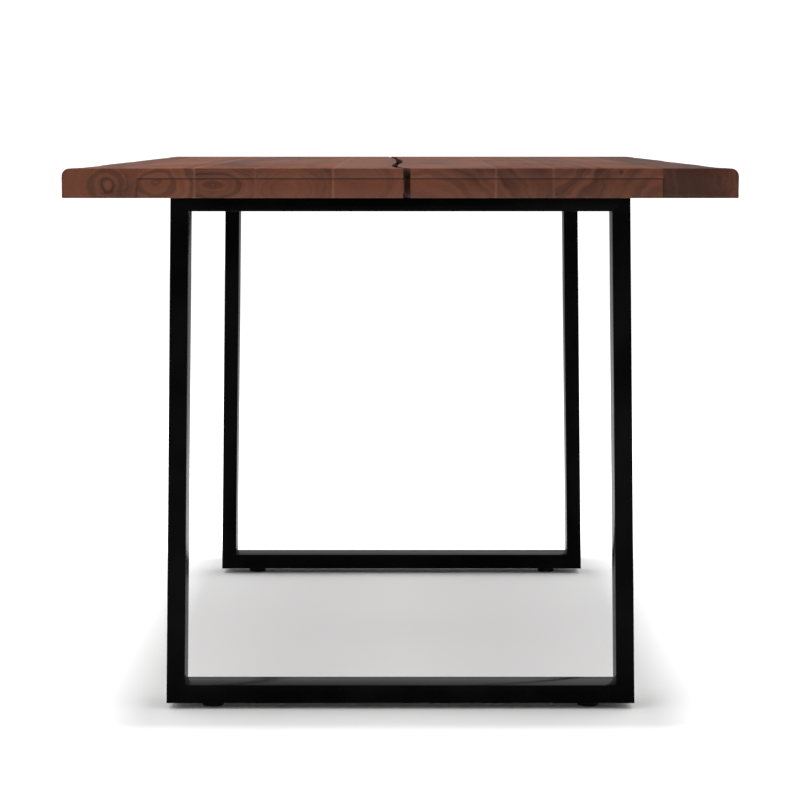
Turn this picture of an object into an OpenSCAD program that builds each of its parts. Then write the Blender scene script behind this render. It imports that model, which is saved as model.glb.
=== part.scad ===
// Two-part live-edge table: a stave-built hardwood top in two halves with a natural gap
// between them, on two welded leg frames with screw-adjusted feet.
// X runs across the table, Y along it, Z up. The origin is on the floor, under the middle.

/* [Table] */
// Length of the top, along the grain
top_l = 1829; // [1200:1:2400]
// Width of the top over both halves, at its widest
top_w = 914; // [760:1:1200]
// Height of the top's surface above the floor
table_h = 762; // [600:1:950]

/* [Top] */
// Thickness of the live-edge boards, and of the top as seen from its ends
top_t = 40; // [34:1:60]
// Thickness of the stave layer
stave_t = 14; // [10:1:20]
// Width of each live-edge board at its widest
edge_board_w = 102; // [80:1:130]
// Relative widths of the left half's staves, from the live edge inwards to the gap
left_staves = [78, 82, 105, 90]; // [50:1:140]
// Relative widths of the right half's staves, from the live edge inwards to the gap
right_staves = [73, 74, 78, 130]; // [50:1:140]
// Radius along the top corner of the live edge
live_edge_r = 10.5; // [4:0.5:18]
// Radius along the bottom corner of the live edge
under_edge_r = 2; // [1:0.5:5]
// Width of the gap between the halves where it is narrowest
gap_min_w = 6; // [4:0.5:20]

/* [Build-up under the top] */
// Length of each end batten along the table
end_batten_l = 70; // [40:1:120]
// Length of each leg batten along the table
leg_batten_l = 120; // [100:1:180]
// Depth from the underside of the live-edge boards up to the leg battens' seat
leg_seat_recess = 4; // [0:0.5:8]
// Width of the strips that thicken the sides of the gap
gap_strip_w = 42; // [30:1:70]
// Width of the cleat that joins the halves, along the table
cleat_l = 90; // [60:1:140]
// Thickness of the cleat
cleat_t = 16; // [12:1:25]
// How far the cleat laps under each live-edge board
cleat_lap = 45; // [32:1:50]

/* [Leg frames] */
// Face width of the rectangular tube, seen from the end of the table
tube_w = 25.4; // [20:0.1:40]
// Depth of the rectangular tube, along the table
tube_d = 76.2; // [50:0.1:100]
// Wall of the tube
tube_wall = 2; // [1.5:0.5:4]
// Distance from the side of the top to the top of the leg frame
frame_side_inset = 137; // [132:1:180]
// How far each upright leans out from top to foot
frame_splay = 9.5; // [0:0.5:40]
// Distance from the end of the top to the leg frame
frame_inset = 144; // [100:1:400]

/* [Leg bolts] */
// Diameter of the leg bolts
bolt_d = 8; // [6:1:10]
// Distance of the first bolt from the table's centre line
bolt_first_x = 65; // [50:1:80]
// Distance of the last bolt from the frame's outer side
bolt_end_inset = 55; // [50:1:70]
// How far the wood can move along the slots in the top rail
bolt_slot_travel = 5; // [0:0.5:8]

/* [Feet] */
// Diameter of the foot pad
pad_d = 30; // [24:1:45]
// Height of the foot pad
pad_h = 9; // [8:1:16]
// Distance of the feet from the frame's outer side
foot_end_inset = 63.5; // [40:0.5:120]
// Diameter of the foot's stud
stud_d = 8; // [6:1:10]

/* [Hidden] */
$fn = 48;

LEFT = -1;
RIGHT = 1;
FRONT = -1;
REAR = 1;
// How far cutting shapes run past the faces they cut
overcut = 1;

walnut = "#6b4132";
walnut_dark = "#5d392c";
powder_black = "#161616";
zinc = "#b9bcc0";
nylon_black = "#1d1d1f";

// How far each live edge falls back from the widest line, at shares of the length from the front
left_live_line = [[0, 0], [0.06, 11], [0.13, 13], [0.16, 16], [0.22, 12], [0.3, 11.5],
    [0.4, 14], [0.5, 18.5], [0.6, 17.5], [0.7, 19.5], [0.8, 21.5], [0.87, 25.5], [0.93, 22],
    [1, 24]];
right_live_line = [[0, 0], [0.07, 11.5], [0.16, 12.5], [0.25, 10.5], [0.33, 13.5],
    [0.42, 15.5], [0.52, 19], [0.6, 14.5], [0.7, 18], [0.8, 20], [0.88, 24], [0.95, 22],
    [1, 24]];
// The gap's own line, and how much wider it is there than at its narrowest
gap_line = [[0, 9], [0.06, -2.5], [0.12, -8], [0.19, -8.5], [0.25, -8], [0.34, -5],
    [0.44, -2.4], [0.5, -2.5], [0.6, -3.5], [0.68, -5.5], [0.78, -10], [0.89, -12.4],
    [0.95, -16], [1, -23]];
gap_widening = [[0, 3.5], [0.12, 2], [0.25, 2], [0.44, 3.4], [0.5, 3.6], [0.6, 3.5],
    [0.7, 2], [0.78, 0.5], [0.89, 4], [0.95, 2], [1, 0]];
// Small waves on every natural edge: height in mm and number of waves along the table
ripples = [[0.8, 23], [0.5, 41]];
stations = 60;
// Seams between staves fall on whole steps of this share of a millimetre
seam_steps = 10;

stave_z = table_h - stave_t;
under_z = table_h - top_t;
seat_z = under_z + leg_seat_recess;
board_x = top_w / 2 - edge_board_w;
frame_y = top_l / 2 - frame_inset - tube_d / 2;
strip_y = frame_y - leg_batten_l / 2;
rail_z = seat_z - tube_w;
cleat_w = 2 * (board_x + cleat_lap);
frame_top_w = top_w - 2 * frame_side_inset;
frame_foot_w = frame_top_w + 2 * frame_splay;
foot_x = frame_foot_w / 2 - foot_end_inset;
bolt_last_x = frame_top_w / 2 - bolt_end_inset;
bolt_x = [bolt_first_x, (bolt_first_x + bolt_last_x) / 2, bolt_last_x];

// Leg bolts: button heads on washers inside the top rail, threads in flanged wood inserts
thread_gap = 0.05;
washer_t = 1.6;
washer_r = bolt_d / 2 + 5;
washer_gap = 0.3;
bolt_head_h = 4.4;
bolt_head_r = bolt_d * 0.875;
bolt_socket_af = bolt_d * 0.625;
bolt_socket_h = 2.6;
insert_wall = 2;
insert_r = bolt_d / 2 + insert_wall;
insert_flange_r = insert_r + 2.5;
insert_flange_t = 1.5;
insert_cover = 4;
insert_tip_gap = 1;
insert_l = stave_z - seat_z - insert_cover - insert_tip_gap;
insert_gap = 0.1;
bolt_tip_gap = 0.6;
bolt_l = tube_wall + washer_t + insert_l - bolt_tip_gap;
slot_r = bolt_d / 2 + 0.5;
bolt_slot_l = 2 * slot_r + bolt_slot_travel;
tool_hole_r = washer_r + 1;

// Cleat screws: countersunk wood screws up into the live-edge boards and the gap strips
screw_r = 2.4;
screw_head_r = 4.6;
screw_head_h = 2.8;
screw_bite = 16;
screw_l = cleat_t + screw_bite;
screw_gap = 0.1;
screw_edge_x = board_x + cleat_lap / 2;
screw_strip_x = gap_strip_w - 8.5;
screw_socket_r = 1.6;
screw_socket_h = 1.4;
screw_y = cleat_l / 4;

// Feet: a nylon pad turning on the flange of a threaded stud, in a nut welded in the rail
stud_r = stud_d / 2 - thread_gap;
stud_hole_gap = 0.5;
turn_gap = 0.08;
stud_top_gap = 1.4;
stud_l = tube_w - tube_wall - stud_top_gap;
stud_flange_r = stud_d / 2 + 3;
stud_flange_t = 2.5;
pad_floor = 2.4;
pad_chamfer = 1.2;
nut_h = 6.5;
nut_r = stud_d * 0.94;

// A smooth line through [share, value] points
function segment_of(points, t, i = 0) =
    i >= len(points) - 2 || t < points[i + 1][0] ? i : segment_of(points, t, i + 1);
function eased(points, t) =
    let (i = segment_of(points, t), a = points[i], b = points[i + 1],
        u = (t - a[0]) / (b[0] - a[0]))
    a[1] + (b[1] - a[1]) * (1 - cos(180 * u)) / 2;
function ripple(t) = sin(180 * t) * (ripples[0][0] * sin(360 * ripples[0][1] * t)
    + ripples[1][0] * sin(360 * ripples[1][1] * t));

function station_y(k) = top_l * (k / stations - 0.5);
function live_x(line, k) = top_w / 2 - eased(line, k / stations) - abs(ripple(k / stations));
function gap_x(side, k) =
    let (t = k / stations, half = (gap_min_w + eased(gap_widening, t)) / 2)
    eased(gap_line, t) + side * (half + abs(ripple(t + side * 0.013)) * 0.6);
function sum_to(shares, n, i = 0) = i >= n ? 0 : shares[i] + sum_to(shares, n, i + 1);
// Outer side of stave n, counted from the live edge, the same number for both neighbours
function stave_x(shares, n) =
    let (share = sum_to(shares, n) / sum_to(shares, len(shares)))
    round(seam_steps * board_x * (1 - share)) / seam_steps;

// ---------- Top ----------

// Cross-section of a live-edge board, counter-clockwise seen from the front
function live_profile(x_out) =
    let (under = [for (a = [-90:30:0]) [x_out - under_edge_r + under_edge_r * cos(a),
            under_z + under_edge_r + under_edge_r * sin(a)]],
        over = [for (a = [0:15:90]) [x_out - live_edge_r + live_edge_r * cos(a),
            table_h - live_edge_r + live_edge_r * sin(a)]])
    concat([[board_x, under_z]], under, over, [[board_x, table_h]]);

// Board with a live outer edge, swept station by station on the +X side
module live_board(line) {
    rings = [for (k = [0:stations]) live_profile(live_x(line, k))];
    n = len(rings[0]);
    points = [for (k = [0:stations]) for (p = rings[k]) [p[0], station_y(k), p[1]]];
    skin = [for (k = [0:stations - 1]) for (i = [0:n - 1])
        let (j = (i + 1) % n, a = k * n, b = a + n)
        each [[a + i, b + i, a + j], [a + j, b + i, b + j]]];
    front_cap = [[for (i = [0:n - 1]) i]];
    rear_cap = [[for (i = [n - 1:-1:0]) stations * n + i]];
    polyhedron(points = points, faces = concat(front_cap, skin, rear_cap));
}

// Flat piece from a straight outer line to the natural edge along the gap
module gap_sided(side, x_outer, y_from, y_to, z_from, z_to) {
    edge = [for (k = [0:stations]) [gap_x(side, k), station_y(k)]];
    outer = [[side * x_outer, top_l / 2], [side * x_outer, -top_l / 2]];
    intersection() {
        translate([0, 0, z_from])
            linear_extrude(z_to - z_from)
                polygon(concat(edge, outer));
        translate([-top_w / 2, y_from, z_from - overcut])
            cube([top_w, y_to - y_from, z_to - z_from + 2 * overcut]);
    }
}

module left_edge_board() {
    color(walnut)
        difference() {
            mirror([1, 0, 0])
                live_board(left_live_line);
            screw_pilots(LEFT, screw_edge_x);
        }
}

module right_edge_board() {
    color(walnut)
        difference() {
            live_board(right_live_line);
            screw_pilots(RIGHT, screw_edge_x);
        }
}

module plain_stave(side, shares, i) {
    outer = stave_x(shares, i);
    inner = stave_x(shares, i + 1);
    color(i % 2 == 0 ? walnut_dark : walnut)
        translate([side * (outer + inner) / 2, 0, stave_z + stave_t / 2])
            cube([outer - inner, top_l, stave_t], center = true);
}

module gap_stave(side, shares) {
    color(walnut)
        gap_sided(side, stave_x(shares, len(shares) - 1), -top_l / 2, top_l / 2, stave_z,
            table_h);
}

// ---------- Build-up under the staves ----------

module end_batten(side, end) {
    y_from = end == FRONT ? -top_l / 2 : top_l / 2 - end_batten_l;
    color(walnut_dark)
        gap_sided(side, board_x, y_from, y_from + end_batten_l, under_z, stave_z);
}

module leg_batten(side, end) {
    y_from = end * frame_y - leg_batten_l / 2;
    color(walnut_dark)
        difference() {
            gap_sided(side, board_x, y_from, y_from + leg_batten_l, seat_z, stave_z);
            for (x = bolt_x)
                translate([side * x, end * frame_y, seat_z])
                    insert_pocket();
        }
}

module gap_strip(side) {
    color(walnut_dark)
        difference() {
            gap_sided(side, gap_strip_w, -strip_y, strip_y, under_z, stave_z);
            screw_pilots(side, screw_strip_x);
        }
}

module centre_cleat() {
    color(walnut_dark)
        difference() {
            translate([-cleat_w / 2, -cleat_l / 2, under_z - cleat_t])
                cube([cleat_w, cleat_l, cleat_t]);
            at_cleat_screws() {
                translate([0, 0, -overcut])
                    cylinder(r = screw_r + screw_gap, h = cleat_t + 2 * overcut);
                screw_head(screw_gap);
            }
        }
}

// ---------- Fasteners ----------

// Its children at each cleat screw, with Z = 0 on the cleat's underside
module at_cleat_screws() {
    for (side = [LEFT, RIGHT])
        for (x = [screw_edge_x, screw_strip_x])
            for (y = [-screw_y, screw_y])
                translate([side * x, y, under_z - cleat_t])
                    children();
}

module screw_head(gap) {
    translate([0, 0, -gap])
        cylinder(r1 = screw_head_r + gap, r2 = screw_r + gap, h = screw_head_h + gap);
}

module screw_pilots(side, x) {
    for (y = [-screw_y, screw_y])
        translate([side * x, y, under_z - overcut])
            cylinder(r = screw_r + screw_gap, h = screw_bite + screw_gap + overcut);
}

module cleat_screws() {
    color(zinc)
        at_cleat_screws()
            difference() {
                union() {
                    screw_head(0);
                    cylinder(r = screw_r, h = screw_l);
                }
                translate([0, 0, -overcut])
                    cylinder(r = screw_socket_r, h = screw_socket_h + overcut, $fn = 4);
            }
}

// Its children at each leg bolt, with Z = 0 on the leg battens' seat
module at_leg_bolts() {
    for (end = [FRONT, REAR])
        for (side = [LEFT, RIGHT])
            for (x = bolt_x)
                translate([side * x, end * frame_y, seat_z])
                    children();
}

module insert_pocket() {
    translate([0, 0, -overcut])
        cylinder(r = insert_r + insert_gap, h = insert_l + insert_tip_gap + overcut);
    translate([0, 0, -overcut])
        cylinder(r = insert_flange_r + insert_gap, h = insert_flange_t + overcut);
}

module wood_inserts() {
    color(zinc)
        at_leg_bolts()
            difference() {
                union() {
                    cylinder(r = insert_r, h = insert_l);
                    cylinder(r = insert_flange_r, h = insert_flange_t);
                }
                translate([0, 0, -overcut])
                    cylinder(r = bolt_d / 2 + thread_gap, h = insert_l + 2 * overcut);
            }
}

module leg_washers() {
    color(zinc)
        at_leg_bolts()
            translate([0, 0, -tube_wall - washer_t])
                difference() {
                    cylinder(r = washer_r, h = washer_t);
                    translate([0, 0, -overcut])
                        cylinder(r = bolt_d / 2 + washer_gap, h = washer_t + 2 * overcut);
                }
}

module leg_bolts() {
    head_z = -tube_wall - washer_t - bolt_head_h;
    color(zinc)
        at_leg_bolts()
            translate([0, 0, head_z])
                difference() {
                    union() {
                        cylinder(r1 = bolt_head_r * 0.7, r2 = bolt_head_r, h = bolt_head_h / 2);
                        translate([0, 0, bolt_head_h / 2])
                            cylinder(r = bolt_head_r, h = bolt_head_h / 2);
                        cylinder(r = bolt_d / 2, h = bolt_head_h + bolt_l);
                    }
                    translate([0, 0, -overcut])
                        cylinder(d = bolt_socket_af / cos(30), h = bolt_socket_h + overcut,
                            $fn = 6);
                }
}

// ---------- Leg frames ----------

// Corners of the frame's outer and inner outlines in X and Z, from bottom left, clockwise
function outer_half(z) = frame_top_w / 2
    + (frame_foot_w - frame_top_w) / 2 * (seat_z - z) / (seat_z - pad_h);
lean = atan((frame_foot_w - frame_top_w) / 2 / (seat_z - pad_h));
function inner_half(z) = outer_half(z) - tube_w / cos(lean);
function corners(half_low, z_low, half_high, z_high) =
    [[-half_low, z_low], [-half_high, z_high], [half_high, z_high], [half_low, z_low]];
outer_corners = corners(outer_half(pad_h), pad_h, outer_half(seat_z), seat_z);
inner_corners = corners(inner_half(pad_h + tube_w), pad_h + tube_w, inner_half(rail_z), rail_z);
// Points on the mitre at corner i, a share of the way from outside to inside
function mitre(i, share) = outer_corners[i] + (inner_corners[i] - outer_corners[i]) * share;
function beyond(a, b) = a + (a - b) / norm(a - b) * overcut;

// Rectangular tube from corner i to the next, mitred at both ends
module mitred_tube(i, end) {
    j = (i + 1) % 4;
    wall_share = tube_wall / tube_w;
    near_a = mitre(i, wall_share);
    near_b = mitre(j, wall_share);
    far_a = mitre(i, 1 - wall_share);
    far_b = mitre(j, 1 - wall_share);
    translate([0, end * frame_y, 0])
        rotate([90, 0, 0])
            difference() {
                linear_extrude(tube_d, center = true)
                    polygon([mitre(i, 0), mitre(j, 0), mitre(j, 1), mitre(i, 1)]);
                linear_extrude(tube_d - 2 * tube_wall, center = true)
                    polygon([beyond(near_a, near_b), beyond(near_b, near_a),
                        beyond(far_b, far_a), beyond(far_a, far_b)]);
            }
}

module upright(side, end) {
    color(powder_black)
        mitred_tube(side == LEFT ? 0 : 2, end);
}

module slot(length, r, h) {
    for (s = [-1, 1])
        translate([s * (length / 2 - r), 0, 0])
            cylinder(r = r, h = h);
    translate([-length / 2 + r, -r, 0])
        cube([length - 2 * r, 2 * r, h]);
}

module top_rail(end) {
    color(powder_black)
        difference() {
            mitred_tube(1, end);
            for (side = [LEFT, RIGHT])
                for (x = bolt_x) {
                    translate([side * x, end * frame_y, seat_z - tube_wall - overcut])
                        slot(bolt_slot_l, slot_r, tube_wall + 2 * overcut);
                    translate([side * x, end * frame_y, rail_z - overcut])
                        cylinder(r = tool_hole_r, h = tube_wall + 2 * overcut);
                }
        }
}

module bottom_rail(end) {
    color(powder_black)
        difference() {
            mitred_tube(3, end);
            for (side = [LEFT, RIGHT])
                translate([side * foot_x, end * frame_y, pad_h - overcut])
                    cylinder(r = stud_d / 2 + stud_hole_gap, h = tube_wall + 2 * overcut);
        }
}

module weld_nuts() {
    color(zinc)
        for (end = [FRONT, REAR])
            for (side = [LEFT, RIGHT])
                translate([side * foot_x, end * frame_y, pad_h + tube_wall])
                    difference() {
                        cylinder(r = nut_r, h = nut_h, $fn = 6);
                        translate([0, 0, -overcut])
                            cylinder(r = stud_d / 2, h = nut_h + 2 * overcut);
                    }
}

// ---------- Feet ----------

module foot_pad(side, end) {
    pocket_r = stud_flange_r + turn_gap;
    color(nylon_black)
        translate([side * foot_x, end * frame_y, 0])
            difference() {
                union() {
                    cylinder(r1 = pad_d / 2 - pad_chamfer, r2 = pad_d / 2, h = pad_chamfer);
                    translate([0, 0, pad_chamfer])
                        cylinder(d = pad_d, h = pad_h - pad_chamfer);
                }
                translate([0, 0, pad_floor])
                    cylinder(r = pocket_r, h = stud_flange_t + 2 * turn_gap);
                translate([0, 0, pad_floor])
                    cylinder(r = stud_r + turn_gap, h = pad_h);
            }
}

module foot_stud(side, end) {
    color(zinc)
        translate([side * foot_x, end * frame_y, pad_floor + turn_gap]) {
            cylinder(r = stud_flange_r, h = stud_flange_t);
            cylinder(r = stud_r, h = pad_h + stud_l - pad_floor - turn_gap);
        }
}

left_edge_board();
plain_stave(LEFT, left_staves, 0);  // left_stave_1
plain_stave(LEFT, left_staves, 1);  // left_stave_2
plain_stave(LEFT, left_staves, 2);  // left_stave_3
gap_stave(LEFT, left_staves);  // left_gap_stave
right_edge_board();
plain_stave(RIGHT, right_staves, 0);  // right_stave_1
plain_stave(RIGHT, right_staves, 1);  // right_stave_2
plain_stave(RIGHT, right_staves, 2);  // right_stave_3
gap_stave(RIGHT, right_staves);  // right_gap_stave
end_batten(LEFT, FRONT);  // left_front_end_batten
end_batten(LEFT, REAR);  // left_rear_end_batten
end_batten(RIGHT, FRONT);  // right_front_end_batten
end_batten(RIGHT, REAR);  // right_rear_end_batten
leg_batten(LEFT, FRONT);  // left_front_leg_batten
leg_batten(LEFT, REAR);  // left_rear_leg_batten
leg_batten(RIGHT, FRONT);  // right_front_leg_batten
leg_batten(RIGHT, REAR);  // right_rear_leg_batten
gap_strip(LEFT);  // left_gap_strip
gap_strip(RIGHT);  // right_gap_strip
centre_cleat();
cleat_screws();
top_rail(FRONT);  // front_top_rail
bottom_rail(FRONT);  // front_bottom_rail
upright(LEFT, FRONT);  // front_left_upright
upright(RIGHT, FRONT);  // front_right_upright
top_rail(REAR);  // rear_top_rail
bottom_rail(REAR);  // rear_bottom_rail
upright(LEFT, REAR);  // rear_left_upright
upright(RIGHT, REAR);  // rear_right_upright
leg_bolts();
leg_washers();
wood_inserts();
weld_nuts();
foot_pad(LEFT, FRONT);  // front_left_pad
foot_stud(LEFT, FRONT);  // front_left_stud
foot_pad(RIGHT, FRONT);  // front_right_pad
foot_stud(RIGHT, FRONT);  // front_right_stud
foot_pad(LEFT, REAR);  // rear_left_pad
foot_stud(LEFT, REAR);  // rear_left_stud
foot_pad(RIGHT, REAR);  // rear_right_pad
foot_stud(RIGHT, REAR);  // rear_right_stud
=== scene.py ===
"""Looks of a two-part live-edge dining table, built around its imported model."""

import logging
import math
from dataclasses import dataclass, field
from enum import Enum

import bmesh
import bpy
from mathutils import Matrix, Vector, noise


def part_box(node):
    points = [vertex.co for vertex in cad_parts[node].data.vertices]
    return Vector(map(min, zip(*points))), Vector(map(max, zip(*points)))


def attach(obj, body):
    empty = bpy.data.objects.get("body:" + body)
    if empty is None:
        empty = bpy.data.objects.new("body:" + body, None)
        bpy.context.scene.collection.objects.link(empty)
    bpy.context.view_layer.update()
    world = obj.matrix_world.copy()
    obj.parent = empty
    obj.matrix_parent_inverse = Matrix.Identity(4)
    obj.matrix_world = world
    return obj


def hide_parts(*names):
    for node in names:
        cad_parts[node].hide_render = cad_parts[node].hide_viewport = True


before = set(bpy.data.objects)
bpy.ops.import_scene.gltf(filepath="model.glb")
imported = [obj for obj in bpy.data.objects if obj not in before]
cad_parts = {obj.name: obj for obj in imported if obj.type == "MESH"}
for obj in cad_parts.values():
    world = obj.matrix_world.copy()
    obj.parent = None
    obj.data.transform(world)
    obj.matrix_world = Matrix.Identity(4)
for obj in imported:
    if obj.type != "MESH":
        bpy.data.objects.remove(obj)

LOG = logging.getLogger("table")
MM = 0.001


class Side(Enum):
    """Half of the table, by the sign of its X."""

    LEFT = -1
    RIGHT = 1

    @property
    def word(self) -> str:
        """Name as it stands in node names."""
        return self.name.lower()


class End(Enum):
    """End of the table, by the sign of its Y."""

    FRONT = -1
    REAR = 1

    @property
    def word(self) -> str:
        """Name as it stands in node names."""
        return self.name.lower()


class Slot(Enum):
    """Material slots of the record."""

    WALNUT = "walnut_boards"
    BUILD_UP = "build_up_wood"
    POWDER_COAT = "black_powder_coat"
    ZINC = "zinc_steel"
    NYLON = "black_nylon"


# ---------- Node graphs ----------

Socket = bpy.types.NodeSocket
Value = float | tuple | Socket


class Graph:
    """Short ways to add and join shader nodes in one material."""

    def __init__(self, name: str) -> None:
        """Starts an empty material.

        Args:
            name: Name of the material.
        """
        self.material = bpy.data.materials.new(name)
        self.material.use_nodes = True
        self.tree = self.material.node_tree
        self.tree.nodes.clear()
        self.shader = self.tree.nodes.new("ShaderNodeBsdfPrincipled")
        output = self.tree.nodes.new("ShaderNodeOutputMaterial")
        self.tree.links.new(self.shader.outputs["BSDF"], output.inputs["Surface"])

    def put(self, socket: Socket, value: Value) -> None:
        """Links or sets one input.

        Args:
            socket: Input to fill.
            value: A number, a tuple or another node's output.
        """
        if isinstance(value, bpy.types.NodeSocket):
            self.tree.links.new(value, socket)
        else:
            socket.default_value = value

    def math(self, operation: str, *values: Value) -> Socket:
        """Adds a Math node.

        Args:
            operation: Its operation.
            values: Its inputs in order.

        Returns:
            The node's output.
        """
        made = self.tree.nodes.new("ShaderNodeMath")
        made.operation = operation
        for i, value in enumerate(values):
            self.put(made.inputs[i], value)
        return made.outputs[0]

    def vector(self, operation: str, *values: Value) -> Socket:
        """Adds a Vector Math node.

        Args:
            operation: Its operation.
            values: Its inputs in order.

        Returns:
            The node's output, a vector or, for LENGTH, a number.
        """
        made = self.tree.nodes.new("ShaderNodeVectorMath")
        made.operation = operation
        for i, value in enumerate(values):
            self.put(made.inputs[i], value)
        return made.outputs["Value" if operation == "LENGTH" else "Vector"]

    def place(self) -> Socket:
        """Position on the object, in metres."""
        return self.tree.nodes.new("ShaderNodeTexCoord").outputs["Object"]

    def split(self, vector: Socket) -> tuple[Socket, Socket, Socket]:
        """Splits a vector.

        Args:
            vector: The vector.

        Returns:
            Its three numbers.
        """
        made = self.tree.nodes.new("ShaderNodeSeparateXYZ")
        self.put(made.inputs[0], vector)
        return made.outputs[0], made.outputs[1], made.outputs[2]

    def join(self, x: Value, y: Value, z: Value) -> Socket:
        """Joins three numbers.

        Args:
            x: First number.
            y: Second number.
            z: Third number.

        Returns:
            The vector.
        """
        made = self.tree.nodes.new("ShaderNodeCombineXYZ")
        for i, value in enumerate((x, y, z)):
            self.put(made.inputs[i], value)
        return made.outputs[0]

    def clouds(self, vector: Socket, scale: float, detail: float = 2.0,
               roughness: float = 0.5) -> Socket:
        """Adds a 3-D noise.

        Args:
            vector: Where it is read.
            scale: Its scale.
            detail: Its octaves.
            roughness: How strong the finer octaves are.

        Returns:
            A number around 0.5.
        """
        made = self.tree.nodes.new("ShaderNodeTexNoise")
        self.put(made.inputs["Vector"], vector)
        made.inputs["Scale"].default_value = scale
        made.inputs["Detail"].default_value = detail
        made.inputs["Roughness"].default_value = roughness
        return made.outputs["Fac"]

    def drift(self, vector: Socket, scale: float, reach: float) -> Socket:
        """Adds a noise that moves a point in every direction.

        Args:
            vector: Where it is read.
            scale: Its scale.
            reach: How far it moves the point, about, in metres.

        Returns:
            The movement, a vector.
        """
        made = self.tree.nodes.new("ShaderNodeTexNoise")
        self.put(made.inputs["Vector"], vector)
        made.inputs["Scale"].default_value = scale
        made.inputs["Detail"].default_value = 2.0
        centred = self.vector("SUBTRACT", made.outputs["Color"], (0.5, 0.5, 0.5))
        return self.vector("MULTIPLY", centred, (reach * 3,) * 3)

    def bands(self, along: Socket, scale: float, detail: float = 2.0) -> Socket:
        """Adds a 1-D noise, for bands of uneven width and depth.

        Args:
            along: The number it runs along.
            scale: Its scale.
            detail: Its octaves.

        Returns:
            A number around 0.5.
        """
        made = self.tree.nodes.new("ShaderNodeTexNoise")
        made.noise_dimensions = "1D"
        self.put(made.inputs["W"], along)
        made.inputs["Scale"].default_value = scale
        made.inputs["Detail"].default_value = detail
        return made.outputs["Fac"]

    def remap(self, value: Socket, low: float, high: float, to_low: float = 0.0,
              to_high: float = 1.0) -> Socket:
        """Maps a range onto another smoothly, clamped at both ends.

        Args:
            value: The number.
            low: Start of its range.
            high: End of its range.
            to_low: Result at the start.
            to_high: Result at the end.

        Returns:
            The mapped number.
        """
        made = self.tree.nodes.new("ShaderNodeMapRange")
        made.interpolation_type = "SMOOTHSTEP"
        self.put(made.inputs["Value"], value)
        for name, number in (("From Min", low), ("From Max", high), ("To Min", to_low),
                             ("To Max", to_high)):
            made.inputs[name].default_value = number
        return made.outputs["Result"]

    def blend(self, share: Value, first: Value, second: Value,
              kind: str = "MIX") -> Socket:
        """Mixes two colours.

        Args:
            share: How much of the second.
            first: First colour.
            second: Second colour.
            kind: Blend type.

        Returns:
            The mixed colour.
        """
        made = self.tree.nodes.new("ShaderNodeMix")
        made.data_type = "RGBA"
        made.blend_type = kind
        self.put(made.inputs["Factor"], share)
        self.put(made.inputs[6], first)
        self.put(made.inputs[7], second)
        return made.outputs[2]

    def relief(self, height: Socket, depth: float) -> None:
        """Adds a bump to the shader.

        Args:
            height: Height from 0 to 1.
            depth: Depth of the relief in metres.
        """
        made = self.tree.nodes.new("ShaderNodeBump")
        made.inputs["Strength"].default_value = 1.0
        made.inputs["Distance"].default_value = depth
        self.put(made.inputs["Height"], height)
        self.put(self.shader.inputs["Normal"], made.outputs["Normal"])


# ---------- Finishes ----------


@dataclass(frozen=True)
class Board:
    """Growth of one board, as seen on its end.

    Attributes:
        pith: X and Z of the tree's centre, in mm.
        flatten: How much the rings are drawn out upwards (under 1) or sideways (over 1).
        start: Where the ring pattern starts.
        tone: Lightness against the others, around 0.
        figure: Strength of the ring pattern.
    """

    pith: tuple[float, float]
    flatten: float
    start: float
    tone: float
    figure: float


LEFT_BOARDS = (
    Board((-398, 740), 0.9, 3.1, -0.02, 0.85),
    Board((-328, 739), 1.35, 8.4, 0.06, 0.7),
    Board((-257, 738), 2.2, 14.2, -0.14, 0.6),
    Board((-154, 737), 1.5, 21.7, -0.06, 0.5),
    Board((-58, 741), 1.2, 27.3, -0.02, 0.35),
)
RIGHT_BOARDS = (
    Board((32, 655), 1.0, 33.8, -0.08, 0.4),
    Board((88, 700), 1.1, 38.9, -0.12, 0.5),
    Board((165, 790), 1.2, 45.1, -0.14, 0.55),
    Board((372, 690), 1.0, 52.6, -0.12, 0.35),
    Board((430, 740), 0.38, 58.5, -0.34, 0.8),
)
LEFT_SAP = (0.0, 0.2, 0.12, 0.26)
RIGHT_SAP = (0.2, 0.14, 0.0, 0.0)
RIGHT_KNOTS = ((0.298, -0.9145, 0.757),)


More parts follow.
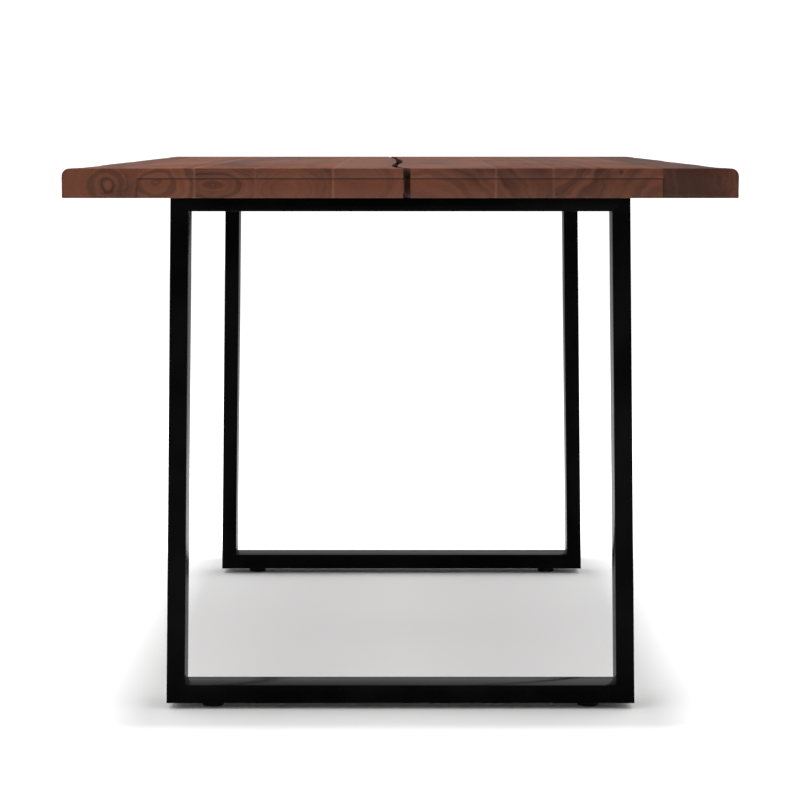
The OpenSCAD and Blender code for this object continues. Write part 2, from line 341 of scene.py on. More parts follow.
@dataclass(frozen=True)
class OiledWalnut:
    """Solid walnut, the same inside as out: end grain and long grain are cuts of one pattern.

    Attributes:
        name: Name of the material.
        boards: The boards from left to right.
        seams: X of the seams between them, in metres.
        sapwood: Strength of the pale sapwood beside each seam.
        stave_z: Height of the seam under the staves, in metres.
        roughness: Roughness of the oiled surface.
        shade: Darkening against its boards' faces: darker natural edge plus painted gap shade.
        joint: How dark the joint beside the live-edge board is.
        knots: Centres of small knots.
        ior: Index of refraction of the thin oil finish.
        ring_scale: How close the broad rings lie.
        fine_scale: How close the fine rings lie.
        arc_scale: How close the darkest arcs lie.
        pore_scale: How close the pores lie.
        pore_depth: Depth of the pores in metres.
        dark: Colour of the late wood.
        middle: Colour between the two.
        light: Colour of the early wood.
        sap: Colour of the sapwood.
        seam: Colour of glue lines and knots.
    """

    name: str
    boards: tuple[Board, ...]
    seams: tuple[float, ...]
    sapwood: tuple[float, ...]
    stave_z: float
    roughness: float = 0.42
    shade: float = 1.0
    joint: float = 0.9
    knots: tuple[tuple[float, float, float], ...] = ()
    ior: float = 1.33
    ring_scale: float = 95.0
    fine_scale: float = 620.0
    arc_scale: float = 70.0
    pore_scale: float = 900.0
    pore_depth: float = 0.00006
    dark: tuple = (0.034, 0.0105, 0.0048, 1)
    middle: tuple = (0.088, 0.0255, 0.0115, 1)
    light: tuple = (0.142, 0.049, 0.0235, 1)
    sap: tuple = (0.20, 0.084, 0.047, 1)
    seam: tuple = (0.020, 0.005, 0.0025, 1)

    def _by_board(self, graph: Graph, x: Socket, values: list[tuple]) -> Socket:
        """Picks one vector for each board by where a point lies across the table.

        Args:
            graph: The material's graph.
            x: The point's X.
            values: One vector for each board.

        Returns:
            The board's vector.
        """
        picked: Value = values[0]
        for seam, before, after in zip(self.seams, values, values[1:]):
            step = graph.math("GREATER_THAN", x, seam)
            change = tuple(b - a for a, b in zip(before, after))
            picked = graph.vector("MULTIPLY_ADD", step, change, picked)
        return picked

    def dress(self) -> bpy.types.Material:
        """Makes the material.

        Returns:
            The finished material.
        """
        graph = Graph(self.name)
        place = graph.place()
        x, y, z = graph.split(place)
        growth = self._by_board(graph, x, [
            (b.pith[0] * MM, b.pith[1] * MM, b.flatten) for b in self.boards])
        nature = self._by_board(graph, x, [(b.start, b.tone, b.figure) for b in self.boards])
        pith_x, pith_z, flatten = graph.split(growth)
        start, tone, figure = graph.split(nature)

        slow = graph.join(start, graph.math("MULTIPLY", y, 1.6), 0.0)
        wander = graph.drift(slow, 1.0, 0.012)
        near = graph.vector("MULTIPLY", place, (1.0, 0.1, 1.0))
        near = graph.vector("ADD", near, graph.join(start, start, 0.0))
        warp = graph.drift(near, 38.0, 0.0078)
        across = graph.join(graph.math("SUBTRACT", x, pith_x), 0.0,
                            graph.math("MULTIPLY", graph.math("SUBTRACT", z, pith_z), flatten))
        across = graph.vector("ADD", across, graph.vector("ADD", wander, warp))
        across = graph.vector("MULTIPLY", across, (1.0, 0.0, 1.0))
        radius = graph.vector("LENGTH", across)

        age = graph.math("ADD", radius, start)
        rings = graph.bands(age, self.ring_scale, 2.5)
        fine = graph.bands(age, self.fine_scale, 1.0)
        arcs = graph.remap(graph.bands(age, self.arc_scale, 0.0), 0.57, 0.69)
        level = graph.math("ADD", graph.math("MULTIPLY", graph.math("SUBTRACT", rings, 0.5),
                                             figure), tone)
        level = graph.math("MULTIPLY_ADD", graph.math("SUBTRACT", fine, 0.5), 0.13, level)
        broad = graph.clouds(graph.vector("MULTIPLY", place, (1.0, 0.22, 1.0)), 13.0, 3.0)
        level = graph.math("MULTIPLY_ADD", graph.math("SUBTRACT", broad, 0.5), 0.75, level)
        lighter = graph.remap(level, -0.02, 0.42)
        darker = graph.remap(level, 0.02, -0.42)
        colour = graph.blend(lighter, self.middle, self.light)
        colour = graph.blend(darker, colour, self.dark)
        arc_share = graph.math("MULTIPLY", graph.math("MULTIPLY", arcs, figure), 0.62)
        colour = graph.blend(arc_share, colour, self.dark)

        for seam, strength in zip(self.seams, self.sapwood):
            if not strength:
                continue
            lean = graph.math("MULTIPLY_ADD", graph.bands(y, 9.0, 2.0), 0.012, seam - 0.006)
            away = graph.math("ABSOLUTE", graph.math("SUBTRACT", x, lean))
            streak = graph.remap(away, 0.0029, 0.0004, 0.0, strength)
            colour = graph.blend(streak, colour, self.sap)

        for knot in self.knots:
            off = graph.vector("MULTIPLY", graph.vector("SUBTRACT", place, knot), (1.0, 0.12, 1.0))
            spot = graph.remap(graph.vector("LENGTH", off), 0.0042, 0.0012, 0.0, 0.75)
            colour = graph.blend(spot, colour, self.seam)

        along = graph.vector("MULTIPLY", place, (1.0, 0.045, 1.0))
        pores = graph.clouds(along, self.pore_scale, 2.0, 0.6)
        pitted = graph.remap(pores, 0.60, 0.74)
        colour = graph.blend(graph.math("MULTIPLY", pitted, 0.28), colour, self.dark)
        above = graph.math("ABSOLUTE", graph.math("SUBTRACT", z, self.stave_z))
        edge = max(abs(self.seams[0]), abs(self.seams[-1]))
        across_top = graph.math("ABSOLUTE", x)
        inside = graph.math("LESS_THAN", across_top, edge)
        glue = graph.math("MULTIPLY", graph.remap(above, 0.0011, 0.0004), inside)
        beside = graph.math("ABSOLUTE", graph.math("SUBTRACT", across_top, edge))
        below = graph.math("LESS_THAN", z, self.stave_z)
        joint = graph.math("MULTIPLY", graph.remap(beside, 0.0009, 0.0003, 0.0, self.joint), below)
        colour = graph.blend(graph.math("MAXIMUM", glue, joint), colour, self.seam)
        # Partly painted shade: below 1 this darkens the whole colour, for the natural edge's
        # darker wood and the shade in the gap.
        if self.shade != 1.0:
            colour = graph.blend(1.0, colour, (self.shade, self.shade, self.shade, 1), "MULTIPLY")
        graph.put(graph.shader.inputs["Base Color"], colour)

        rough = graph.math("MULTIPLY_ADD", graph.math("SUBTRACT", rings, 0.5), 0.16,
                           self.roughness)
        graph.put(graph.shader.inputs["Roughness"], graph.math("MULTIPLY_ADD", pitted, 0.1, rough))
        height = graph.math("MULTIPLY_ADD", pitted, -1.0, graph.math("MULTIPLY", fine, 0.35))
        graph.put(graph.shader.inputs["IOR"], self.ior)
        graph.relief(height, self.pore_depth)
        return graph.material


@dataclass(frozen=True)
class CrossWalnut:
    """Plain walnut with its grain across the table, for the cleat.

    Attributes:
        name: Name of the material.
        roughness: Roughness of the sanded surface.
        dark: Colour of the late wood.
        light: Colour of the early wood.
    """

    name: str
    roughness: float = 0.55
    dark: tuple = (0.034, 0.0115, 0.0065, 1)
    light: tuple = (0.130, 0.045, 0.026, 1)

    def dress(self) -> bpy.types.Material:
        """Makes the material.

        Returns:
            The finished material.
        """
        graph = Graph(self.name)
        place = graph.place()
        along = graph.vector("MULTIPLY", place, (0.12, 1.0, 1.0))
        moved = graph.vector("ADD", along, graph.drift(along, 18.0, 0.005))
        _, y, z = graph.split(moved)
        radius = graph.vector("LENGTH", graph.join(
            0.0, graph.math("SUBTRACT", y, 0.012), graph.math("SUBTRACT", z, 0.66)))
        rings = graph.bands(radius, 240.0, 2.0)
        pores = graph.remap(
            graph.clouds(graph.vector("MULTIPLY", place, (0.045, 1.0, 1.0)), 900.0), 0.58, 0.72)
        colour = graph.blend(graph.remap(rings, 0.3, 0.7), self.dark, self.light)
        colour = graph.blend(graph.math("MULTIPLY", pores, 0.35), colour, self.dark)
        graph.put(graph.shader.inputs["Base Color"], colour)
        graph.put(graph.shader.inputs["Roughness"],
                  graph.math("MULTIPLY_ADD", rings, 0.12, self.roughness - 0.06))
        graph.relief(graph.math("MULTIPLY", pores, -1.0), 0.00006)
        return graph.material


@dataclass(frozen=True)
class PowderCoat:
    """Satin black powder coat with its fine orange peel.

    Attributes:
        name: Name of the material.
        roughness: Roughness of the coat.
        ior: Its index of refraction, low because the coat is matt head on.
        black: Colour of the coat.
        worn: Colour of its paler patches.
    """

    name: str
    roughness: float = 0.2
    ior: float = 1.12
    black: tuple = (0.0006, 0.0006, 0.0006, 1)
    worn: tuple = (0.0022, 0.0022, 0.0022, 1)

    def dress(self) -> bpy.types.Material:
        """Makes the material.

        Returns:
            The finished material.
        """
        graph = Graph(self.name)
        place = graph.place()
        patches = graph.clouds(place, 9.0, 3.0)
        peel = graph.clouds(place, 1400.0, 1.0)
        colour = graph.blend(graph.remap(patches, 0.35, 0.7), self.black, self.worn)
        graph.put(graph.shader.inputs["Base Color"], colour)
        graph.put(graph.shader.inputs["Roughness"], graph.math(
            "MULTIPLY_ADD", graph.math("SUBTRACT", patches, 0.5), 0.1, self.roughness))
        graph.put(graph.shader.inputs["IOR"], self.ior)
        graph.relief(peel, 0.000008)
        return graph.material


@dataclass(frozen=True)
class ZincSteel:
    """Bright zinc-plated steel with a faint cloudy tarnish.

    Attributes:
        name: Name of the material.
        roughness: Roughness of the plating.
        bright: Colour of fresh plating.
        dull: Colour of its tarnish.
    """

    name: str
    roughness: float = 0.32
    bright: tuple = (0.58, 0.6, 0.62, 1)
    dull: tuple = (0.36, 0.37, 0.38, 1)

    def dress(self) -> bpy.types.Material:
        """Makes the material.

        Returns:
            The finished material.
        """
        graph = Graph(self.name)
        place = graph.place()
        cloud = graph.clouds(place, 160.0, 3.0)
        grain = graph.clouds(place, 2600.0, 1.0)
        graph.put(graph.shader.inputs["Base Color"],
                  graph.blend(graph.remap(cloud, 0.35, 0.7), self.bright, self.dull))
        graph.put(graph.shader.inputs["Roughness"], graph.math(
            "MULTIPLY_ADD", cloud, 0.2, self.roughness - 0.1))
        graph.put(graph.shader.inputs["Metallic"], 1.0)
        graph.relief(grain, 0.00001)
        return graph.material


@dataclass(frozen=True)
class MouldedNylon:
    """Black nylon, moulded with a fine matt texture.

    Attributes:
        name: Name of the material.
        roughness: Roughness of the moulding.
        black: Colour of the nylon.
        scuffed: Colour where it is scuffed.
    """

    name: str
    roughness: float = 0.5
    black: tuple = (0.004, 0.004, 0.0045, 1)
    scuffed: tuple = (0.014, 0.014, 0.015, 1)

    def dress(self) -> bpy.types.Material:
        """Makes the material.

        Returns:
            The finished material.
        """
        graph = Graph(self.name)
        place = graph.place()
        _, _, z = graph.split(place)
        scuff = graph.clouds(place, 420.0, 3.0)
        low = graph.remap(z, 0.003, 0.0, 0.15, 0.6)
        share = graph.math("MULTIPLY", graph.remap(scuff, 0.45, 0.7), low)
        graph.put(graph.shader.inputs["Base Color"],
                  graph.blend(share, self.black, self.scuffed))
        graph.put(graph.shader.inputs["Roughness"], graph.math(
            "MULTIPLY_ADD", scuff, 0.16, self.roughness - 0.08))
        graph.relief(graph.clouds(place, 3000.0, 1.0), 0.00002)
        return graph.material


# ---------- Making pieces ----------


def finish_piece(bm: bmesh.types.BMesh, name: str, body: str, slot: Slot,
                 material: bpy.types.Material, *nodes: str,
                 smooth_angle: float = 35.0) -> bpy.types.Object:
    """Turns a finished bmesh into a piece of the table.

    Args:
        bm: The piece's mesh, in place. It is freed.
        name: Name of the piece.
        body: Body that it rides on.
        slot: Material slot of the record; not used.
        material: Its finish.
        nodes: Nodes that it stands for.
        smooth_angle: Faces that meet at less than this are shaded smooth, in degrees.

    Returns:
        The new object.
    """
    bmesh.ops.recalc_face_normals(bm, faces=bm.faces)
    mesh = bpy.data.meshes.new(name)
    bm.to_mesh(mesh)
    bm.free()
    for polygon in mesh.polygons:
        polygon.use_smooth = True
    mesh.set_sharp_from_angle(angle=math.radians(smooth_angle))
    mesh.materials.append(material)
    piece = bpy.data.objects.new(name, mesh)
    bpy.context.scene.collection.objects.link(piece)
    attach(piece, body)
    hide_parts(*nodes)
    LOG.info("%s: %d faces, stands for %s", name, len(mesh.polygons), ", ".join(nodes))
    return piece


def dress_node(name: str, material: bpy.types.Material) -> None:
    """Gives a carried-over node its finish.

    Args:
        name: The node.
        material: Its finish.
    """
    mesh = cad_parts[name].data
    mesh.materials.clear()
    mesh.materials.append(material)
    LOG.info("%s: carried over, finish %s", name, material.name)


def block(low: Vector, high: Vector) -> bmesh.types.BMesh:
    """Starts a rectangular block.

    Args:
        low: Its lowest corner.
        high: Its highest corner.

    Returns:
        The block's mesh.
    """
    bm = bmesh.new()
    bmesh.ops.create_cube(bm, size=1.0)
    bmesh.ops.scale(bm, vec=high - low, verts=bm.verts)
    bmesh.ops.translate(bm, vec=(low + high) / 2, verts=bm.verts)
    return bm


def cut_along(bm: bmesh.types.BMesh, places: list[float], axis: Vector) -> None:
    """Cuts a mesh across an axis, leaving it whole.

    Args:
        bm: The mesh.
        places: Where along the axis.
        axis: The axis.
    """
    for at in places:
        bmesh.ops.bisect_plane(bm, geom=bm.verts[:] + bm.edges[:] + bm.faces[:], dist=1e-7,
                               plane_co=axis * at, plane_no=axis)


def ease_edges(bm: bmesh.types.BMesh, edges: list[bmesh.types.BMEdge], radius: float,
               segments: int) -> None:
    """Rounds edges.

    Args:
        bm: The mesh.
        edges: The edges.
        radius: Radius in metres.
        segments: Faces round the bend.
    """
    bmesh.ops.bevel(bm, geom=edges, offset=radius, segments=segments, profile=0.5,
                    affect="EDGES", material=-1, clamp_overlap=True)


def sharp_edges(bm: bmesh.types.BMesh, angle: float = 60.0) -> list[bmesh.types.BMEdge]:
    """Finds the edges where faces meet sharply.

    Args:
        bm: The mesh.
        angle: Least angle between the faces, in degrees.

    Returns:
        The edges.
    """
    return [e for e in bm.edges
            if len(e.link_faces) == 2 and e.calc_face_angle() > math.radians(angle)]


@dataclass
class EdgeLine:
    """A natural edge: how far out it stands at each place along the table.

    Attributes:
        stations: Y and X of the edge, from front to rear.
    """

    stations: list[tuple[float, float]]

    @classmethod
    def of_node(cls, node: str, outwards: int) -> "EdgeLine":
        """Reads a node's furthest X at each of its stations.

        Only its outer half counts, so that holes nearer its other side aren't taken for the edge.

        Args:
            node: The node.
            outwards: 1 for the highest X, -1 for the lowest.

        Returns:
            The line.
        """
        low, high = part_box(node)
        middle = (low.x + high.x) / 2
        furthest: dict[int, tuple[float, float]] = {}
        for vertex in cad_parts[node].data.vertices:
            if outwards * (vertex.co.x - middle) <= 0:
                continue
            key = round(vertex.co.y * 10000)
            known = furthest.get(key)
            if known is None or outwards * vertex.co.x > outwards * known[1]:
                furthest[key] = (vertex.co.y, vertex.co.x)
        lone = [furthest[k] for k in sorted(furthest)]
        return cls(lone)

    def at(self, y: float) -> float:
        """X of the edge at a place along the table, on a curve through the stations.

        Args:
            y: The place.

        Returns:
            The edge's X.
        """
        points = self.stations
        i = max(0, min(len(points) - 2, sum(1 for p in points if p[0] <= y) - 1))
        before, here = points[max(0, i - 1)], points[i]
        after, beyond = points[i + 1], points[min(len(points) - 1, i + 2)]
        t = max(0.0, min(1.0, (y - here[0]) / (after[0] - here[0])))
        a, b, c, d = before[1], here[1], after[1], beyond[1]
        curved = 0.5 * (2 * b + (c - a) * t + (2 * a - 5 * b + 4 * c - d) * t * t
                        + (3 * b - a - 3 * c + d) * t ** 3)
        return max(min(b, c), min(max(b, c), curved))


# ---------- Table top ----------


@dataclass
class TableTop:
    """Both halves of the top: live-edge boards, staves, end battens and what thickens them.

    Attributes:
        pitch: Distance between cuts along a natural edge, in metres.
        live_radius: Radius along the top corner of the live edge.
        under_radius: Radius along its bottom corner.
        eased: Radius of the lightly sanded edges.
        wear: How deep the live edge's small hollows are.
        finishes: Oiled wood of each half.
        gap_faces: Wood on the natural faces of the gap: darker natural edge plus painted shade.
        raw: Sanded wood of the pieces underneath.
        gap_lines: Natural edge of each half along the gap.
    """

    pitch: float = 9 * MM
    live_radius: float = 10.5 * MM
    under_radius: float = 2 * MM
    eased: float = 0.35 * MM
    wear: float = 0.7 * MM
    finishes: dict[Side, bpy.types.Material] = field(default_factory=dict)
    gap_faces: dict[Side, bpy.types.Material] = field(default_factory=dict)
    raw: dict[Side, bpy.types.Material] = field(default_factory=dict)
    gap_lines: dict[Side, EdgeLine] = field(default_factory=dict)

    def dress(self) -> None:
        """Makes the wood of both halves, from where their seams are."""
        for side, boards, sap, joint, knots in (
                (Side.LEFT, LEFT_BOARDS, LEFT_SAP, 0.35, ()),
                (Side.RIGHT, RIGHT_BOARDS, RIGHT_SAP, 0.95, RIGHT_KNOTS)):
            nodes = [f"{side.word}_stave_{i}" for i in (1, 2, 3)] + [f"{side.word}_gap_stave"]
            spans = [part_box(n) for n in nodes]
            if side is Side.LEFT:
                seams = tuple(low.x for low, _ in spans)
            else:
                seams = tuple(high.x for _, high in reversed(spans))
            stave_z = spans[0][0].z
            common = {"boards": boards, "seams": seams, "sapwood": sap, "stave_z": stave_z,
                      "joint": joint, "knots": knots}
            self.finishes[side] = OiledWalnut(f"oiled_walnut_{side.word}", **common).dress()
            # Gap faces: darker natural-edge wood with painted shade of the narrow gap drawn into
            # it.
            self.gap_faces[side] = OiledWalnut(
                f"natural_edge_walnut_{side.word}", roughness=0.6, shade=0.62, **common).dress()
            self.raw[side] = OiledWalnut(
                f"sanded_walnut_{side.word}", roughness=0.6, **common).dress()
            self.gap_lines[side] = EdgeLine.of_node(f"{side.word}_gap_stave", -side.value)

    def _live_board(self, side: Side) -> None:
        """Builds one live-edge board.

        Args:
            side: Half of the table.
        """
        node = f"{side.word}_edge_board"
        low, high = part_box(node)
        line = EdgeLine.of_node(node, side.value)
        bm = block(low, high)
        cuts = int((high.y - low.y) / self.pitch)
        cut_along(bm, [low.y + (high.y - low.y) * k / cuts for k in range(1, cuts)],
                  Vector((0, 1, 0)))
        middle = (low.x + high.x) / 2
        for vertex in bm.verts:
            if side.value * (vertex.co.x - middle) > 0:
                vertex.co.x = line.at(vertex.co.y)
        outer = [e for e in bm.edges
                 if all(side.value * (v.co.x - middle) > 0 for v in e.verts)
                 and abs(e.verts[0].co.z - e.verts[1].co.z) < 1e-6
                 and abs(e.verts[0].co.y - e.verts[1].co.y) > 1e-6]
        top = [e for e in outer if e.verts[0].co.z > (low.z + high.z) / 2]
        under = [e for e in outer if e.verts[0].co.z <= (low.z + high.z) / 2]
        ease_edges(bm, under, self.under_radius, 3)
        top = [e for e in top if e.is_valid]
        ease_edges(bm, top, self.live_radius, 7)
        cut_along(bm, [low.z + h * MM for h in (8, 14, 20, 26)], Vector((0, 0, 1)))
        for vertex in bm.verts:
            out = side.value * (vertex.co.x - line.at(vertex.co.y)) + self.live_radius
            if out > 0 and low.z + 1e-4 < vertex.co.z < high.z - 1e-5:
                spot = Vector((side.value, vertex.co.y * 38, vertex.co.z * 95))
                long = Vector((side.value * 4, vertex.co.y * 9, vertex.co.z * 30))
                hollow = abs(noise.noise(spot)) * 0.45 + abs(noise.noise(long)) * 0.9
                vertex.co.x -= side.value * self.wear * hollow * min(1.0, out / self.live_radius)
        ease_edges(bm, [e for e in sharp_edges(bm) if e.is_valid
                        and all(abs(v.co.y) > high.y - 1e-5 for v in e.verts)],
                   self.eased, 2)
        finish_piece(bm, f"{node}_live", "table", Slot.WALNUT, self.finishes[side], node)

    def _straight(self, side: Side, node: str) -> None:
        """Builds one plain stave.

        Args:
            side: Half of the table.
            node: Its node.
        """
        bm = block(*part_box(node))
        ease_edges(bm, bm.edges[:], self.eased, 2)
        finish_piece(bm, f"{node}_wood", "table", Slot.WALNUT, self.finishes[side], node)

    def _along_gap(self, side: Side, node: str, slot: Slot) -> None:
        """Builds one piece with the natural edge of the gap along its inner side.

        Args:
            side: Half of the table.
            node: Its node.
            slot: Material slot of the record.
        """
        low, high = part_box(node)
        line = self.gap_lines[side]
        outer = low.x if side is Side.LEFT else high.x
        bm = block(low, high)
        cuts = max(2, int((high.y - low.y) / self.pitch))
        cut_along(bm, [low.y + (high.y - low.y) * k / cuts for k in range(1, cuts)],
                  Vector((0, 1, 0)))
        for vertex in bm.verts:
            if abs(vertex.co.x - outer) > 1e-4:
                vertex.co.x = line.at(vertex.co.y)
        ease_edges(bm, sharp_edges(bm), self.eased, 2)
        bmesh.ops.recalc_face_normals(bm, faces=bm.faces)
        # Faces towards the gap take the gap material: darker natural edge plus painted shade of
        # the gap.
        for face in bm.faces:
            if -side.value * face.normal.x > 0.6 and abs(face.calc_center_median().x) < 0.05:
                face.material_index = 1
        piece = finish_piece(bm, f"{node}_wood", "table", slot, self.finishes[side], node)
        piece.data.materials.append(self.gap_faces[side])

    def build(self) -> None:
        """Builds and dresses the whole top."""
        self.dress()
        for side in Side:
            self._live_board(side)
            for i in (1, 2, 3):
                self._straight(side, f"{side.word}_stave_{i}")
            self._along_gap(side, f"{side.word}_gap_stave", Slot.WALNUT)
            for end in End:
                self._along_gap(side, f"{side.word}_{end.word}_end_batten", Slot.BUILD_UP)
                dress_node(f"{side.word}_{end.word}_leg_batten", self.raw[side])
            dress_node(f"{side.word}_gap_strip", self.raw[side])
        dress_node("centre_cleat", CrossWalnut("cross_walnut").dress())


# ---------- Leg frames ----------


@dataclass
class LegFrame:
    """One welded loop of rectangular tube.

    Attributes:
        end: End of the table that it stands at.
        coat: Its finish.
        corner: Radius of the tube's corners.
    """

    end: End
    coat: bpy.types.Material
    corner: float = 0.5 * MM

    def _tube(self, name: str) -> None:
        """Builds one length of tube with rounded corners.

        Args:
            name: Its part of the frame.
        """
        node = f"{self.end.word}_{name}"
        bm = bmesh.new()
        bm.from_mesh(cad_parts[node].data)
        bmesh.ops.remove_doubles(bm, verts=bm.verts, dist=1e-6)
        bmesh.ops.dissolve_limit(bm, angle_limit=math.radians(0.5), verts=bm.verts,
                                 edges=bm.edges)
        long = [e for e in sharp_edges(bm) if e.calc_length() > 0.3]
        low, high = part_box(node)
        outside = [e for e in long
                   if min(abs(e.verts[0].co.y - low.y), abs(e.verts[0].co.y - high.y)) < 1e-5]
        ease_edges(bm, outside, self.corner, 4)
        finish_piece(bm, f"{node}_tube", "table", Slot.POWDER_COAT, self.coat, node,
                     smooth_angle=30.0)

    def build(self) -> None:
        """Builds the four lengths of the frame."""
        for name in ("top_rail", "bottom_rail", "left_upright", "right_upright"):
            self._tube(name)


# ---------- Feet ----------


@dataclass
class LevellingFoot:
    """One screw-in foot: a nylon pad that turns on a threaded stud.

    Attributes:
        side: Half of the table.
        end: End of the table.
        nylon: The pad's finish.
        zinc: The stud's finish.
        pitch: Pitch of the thread.
        depth: Depth of the thread.
        flange_r: Radius of the stud's flange.
        flange_t: Thickness of the flange.
        turns: Faces round the foot.
        core_r: Radius of the stud's thread.
        neck_r: Radius of the pad's hole round the stud.
        pad_floor: Thickness of the pad under the flange.
        play: Clearance that lets the pad turn on the flange.
    """

    side: Side
    end: End
    nylon: bpy.types.Material
    zinc: bpy.types.Material
    pitch: float = 1.25 * MM
    depth: float = 0.62 * MM
    flange_r: float = 7 * MM
    flange_t: float = 2.5 * MM
    turns: int = 48
    core_r: float = 3.95 * MM
    neck_r: float = 4.03 * MM
    pad_floor: float = 2.4 * MM
    play: float = 0.08 * MM

    def _turned(self, outline: list[tuple[float, float]], centre: Vector) -> bmesh.types.BMesh:
        """Spins an outline about the foot's own axis.

        Args:
            outline: Radius and Z of its points, from bottom to top.
            centre: Point on the axis.

        Returns:
            The turned mesh.
        """
        bm = bmesh.new()
        points = [bm.verts.new((centre.x + r, centre.y, z)) for r, z in outline]
        edges = [bm.edges.new(pair) for pair in zip(points, points[1:])]
        bmesh.ops.spin(bm, geom=points + edges, cent=centre, axis=(0, 0, 1),
                       angle=math.tau, steps=self.turns, use_merge=True)
        bmesh.ops.remove_doubles(bm, verts=bm.verts, dist=1e-7)
        return bm

    def build(self) -> None:
        """Builds the pad and the stud."""
        name = f"{self.end.word}_{self.side.word}"
        low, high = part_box(f"{name}_pad")
        centre = Vector(((low.x + high.x) / 2, (low.y + high.y) / 2, 0))
        r, h = (high.x - low.x) / 2, high.z
        neck, bevel, groove = self.neck_r, 0.7 * MM, 0.35 * MM
        pocket_r, floor = self.flange_r + self.play, self.pad_floor
        ceiling = floor + self.flange_t + 2 * self.play
        pad = self._turned([
            (0, 0), (r - 1.6 * MM, 0), (r - 1.2 * MM, 0.12 * MM), (r - 0.3 * MM, 0.8 * MM),
            (r, 1.6 * MM), (r, 0.52 * h), (r - groove, 0.55 * h), (r - groove, 0.6 * h),
            (r, 0.63 * h), (r, h - bevel), (r - 0.3 * bevel, h - 0.3 * bevel), (r - bevel, h),
            (neck, h), (neck, ceiling), (pocket_r, ceiling), (pocket_r, floor), (0, floor)],
            centre)
        finish_piece(pad, f"{name}_pad_puck", f"{name}_foot_pad", Slot.NYLON, self.nylon,
                     f"{name}_pad")
        low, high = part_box(f"{name}_stud")
        core = self.core_r
        outline = [(0, low.z), (self.flange_r, low.z), (self.flange_r, low.z + self.flange_t),
                   (core - self.depth, low.z + self.flange_t)]
        z = low.z + self.flange_t + 0.2 * MM
        while z + self.pitch < high.z - 0.6 * MM:
            outline += [(core - self.depth, z), (core, z + self.pitch * 0.44),
                        (core, z + self.pitch * 0.56)]
            z += self.pitch
        outline += [(core - self.depth, z), (core - self.depth, high.z - 0.3 * MM),
                    (core - 1.2 * MM, high.z), (0, high.z)]
        stud = self._turned(outline, centre)
        finish_piece(stud, f"{name}_stud_thread", f"{name}_foot_stud", Slot.ZINC, self.zinc,
                     f"{name}_stud")


# ---------- Studio ----------


@dataclass(frozen=True)
class SoftLamp:
    """A square lamp that lights but isn't seen, directly or in reflections.

    Attributes:
        name: Its name.
        place: Where it hangs.
        aim: Where it points.
        size: Its side in metres.
        power: Its power in watts.
    """

    name: str
    place: tuple[float, float, float]
    aim: tuple[float, float, float]
    size: float
    power: float

    def hang(self) -> None:
        """Hangs the lamp."""
        data = bpy.data.lights.new(self.name, "AREA")
        data.shape = "SQUARE"
        data.size = self.size
        data.energy = self.power
        lamp = bpy.data.objects.new(self.name, data)
        place = Vector(self.place)
        lamp.location = place
        lamp.rotation_euler = (Vector(self.aim) - place).to_track_quat("-Z", "Y").to_euler()
        lamp.visible_glossy = False
        lamp.visible_camera = False
        bpy.context.scene.collection.objects.link(lamp)


LAMPS = (
    SoftLamp("overhead_lamp", (0, 0.0, 6.0), (0, 0.0, 0), 2.2, 600.0),
    SoftLamp("front_lamp", (-2.8, -6.0, 2.6), (0, -0.8, 0.6), 3.0, 40.0),
)


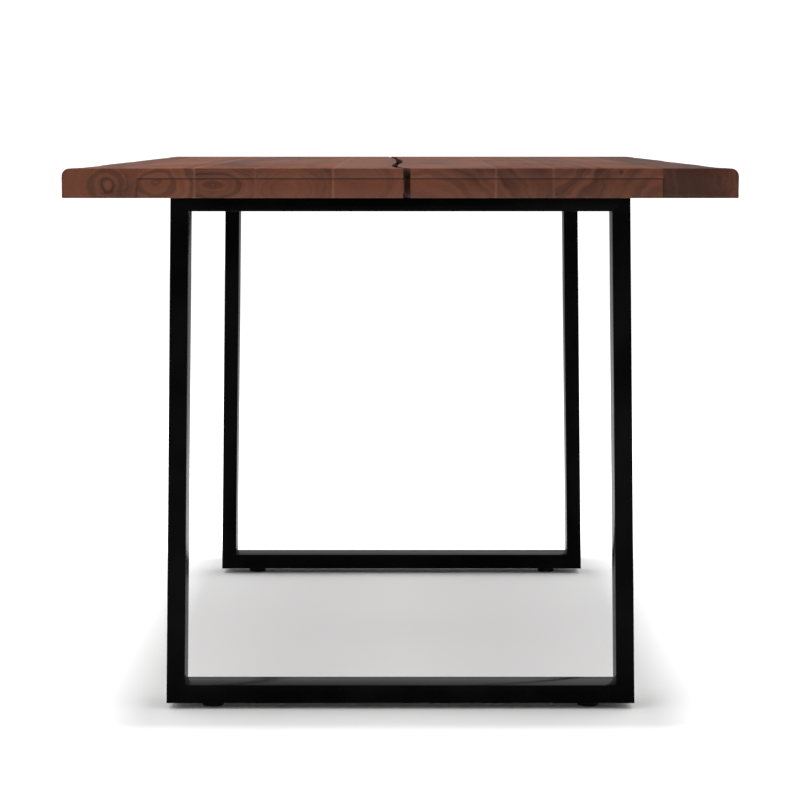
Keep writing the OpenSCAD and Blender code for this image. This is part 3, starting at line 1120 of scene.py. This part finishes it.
@dataclass
class Studio:
    """Pale floor, soft light and the camera.

    Attributes:
        eye: Place of the camera.
        pitch: How far it looks down, in degrees.
        lens: Its focal length in mm.
        shift: Its sideways shift.
        floor_radius: Radius of the floor.
        sky: Strength of the room's soft light.
        mirrored_sky: Strength of the room's far side in reflections.
        mirrored_ceiling: Strength of its ceiling in reflections.
        backdrop: Strength of the room as the camera sees it.
        pale: How pale the floor is.
        mirrored_pale: How pale it is in reflections.
    """

    eye: Vector = field(default_factory=lambda: Vector((0.00655, -5.51536, 0.818255)))
    pitch: float = 4.590669
    lens: float = 153.23
    shift: float = -0.00638
    floor_radius: float = 14.0
    sky: float = 1.2
    mirrored_sky: float = 0.3
    mirrored_ceiling: float = 0.42
    backdrop: float = 1.2
    pale: float = 0.86
    mirrored_pale: float = 0.34

    def _floor(self) -> None:
        """Makes the floor, a round sheet that looks dimmer in reflections than head on."""
        bm = bmesh.new()
        bmesh.ops.create_circle(bm, cap_ends=True, segments=96, radius=self.floor_radius)
        mesh = bpy.data.meshes.new("floor")
        bm.to_mesh(mesh)
        bm.free()
        material = bpy.data.materials.new("pale_floor")
        material.use_nodes = True
        tree = material.node_tree
        tree.nodes.clear()
        add, link = tree.nodes.new, tree.links.new
        direct, mirrored = add("ShaderNodeBsdfDiffuse"), add("ShaderNodeBsdfDiffuse")
        direct.inputs["Color"].default_value = (self.pale,) * 3 + (1,)
        mirrored.inputs["Color"].default_value = (self.mirrored_pale,) * 3 + (1,)
        ray, mixed = add("ShaderNodeLightPath"), add("ShaderNodeMixShader")
        output = add("ShaderNodeOutputMaterial")
        link(ray.outputs["Is Glossy Ray"], mixed.inputs["Fac"])
        link(direct.outputs[0], mixed.inputs[1])
        link(mirrored.outputs[0], mixed.inputs[2])
        link(mixed.outputs[0], output.inputs["Surface"])
        mesh.materials.append(material)
        floor = bpy.data.objects.new("floor", mesh)
        bpy.context.scene.collection.objects.link(floor)

    def _surroundings(self) -> None:
        """Makes a white room that lights evenly; its near side is dark in reflections."""
        world = bpy.data.worlds.new("studio")
        world.use_nodes = True
        tree = world.node_tree
        tree.nodes.clear()
        add, link = tree.nodes.new, tree.links.new
        output, coords = add("ShaderNodeOutputWorld"), add("ShaderNodeTexCoord")
        split, ray = add("ShaderNodeSeparateXYZ"), add("ShaderNodeLightPath")
        far, high = add("ShaderNodeMapRange"), add("ShaderNodeMapRange")
        for made, low, top, most in ((far, -0.2, 0.5, self.mirrored_sky),
                                     (high, 0.3, 0.85, self.mirrored_ceiling)):
            made.interpolation_type = "SMOOTHSTEP"
            made.inputs["From Min"].default_value = low
            made.inputs["From Max"].default_value = top
            made.inputs["To Max"].default_value = most
        mirrored = add("ShaderNodeMath")
        mirrored.operation = "MAXIMUM"
        even = add("ShaderNodeMix")
        seen = add("ShaderNodeMix")
        background = add("ShaderNodeBackground")
        link(coords.outputs["Generated"], split.inputs[0])
        link(split.outputs["Y"], far.inputs["Value"])
        link(split.outputs["Z"], high.inputs["Value"])
        link(far.outputs["Result"], mirrored.inputs[0])
        link(high.outputs["Result"], mirrored.inputs[1])
        link(ray.outputs["Is Glossy Ray"], even.inputs["Factor"])
        even.inputs["A"].default_value = self.sky
        link(mirrored.outputs[0], even.inputs["B"])
        link(ray.outputs["Is Camera Ray"], seen.inputs["Factor"])
        link(even.outputs["Result"], seen.inputs["A"])
        seen.inputs["B"].default_value = self.backdrop
        link(seen.outputs["Result"], background.inputs["Strength"])
        background.inputs["Color"].default_value = (1, 1, 1, 1)
        link(background.outputs[0], output.inputs["Surface"])
        bpy.context.scene.world = world

    def _camera(self) -> None:
        """Sets up the camera."""
        data = bpy.data.cameras.new("camera")
        data.lens = self.lens
        data.sensor_width = 36.0
        data.shift_x = self.shift
        data.clip_end = 200.0
        camera = bpy.data.objects.new("camera", data)
        camera.location = self.eye
        camera.rotation_euler = (math.radians(90 - self.pitch), 0, 0)
        bpy.context.scene.collection.objects.link(camera)
        bpy.context.scene.camera = camera

    def build(self) -> None:
        """Builds the whole studio."""
        self._floor()
        self._surroundings()
        for lamp in LAMPS:
            lamp.hang()
        self._camera()
        bpy.context.scene.view_settings.view_transform = "Standard"


def main() -> None:
    """Builds the table piece by piece, then the studio."""
    logging.basicConfig(level=logging.INFO, format="%(name)s: %(message)s")
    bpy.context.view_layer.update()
    TableTop().build()
    coat = PowderCoat("black_powder_coat").dress()
    for end in End:
        LegFrame(end, coat).build()
    nylon = MouldedNylon("black_nylon").dress()
    zinc = ZincSteel("zinc_steel").dress()
    for end in End:
        for side in Side:
            LevellingFoot(side, end, nylon, zinc).build()
    for node in ("cleat_screws", "leg_bolts", "leg_washers", "wood_inserts", "weld_nuts"):
        dress_node(node, zinc)
    Studio().build()


if __name__ == "__main__":
    main()
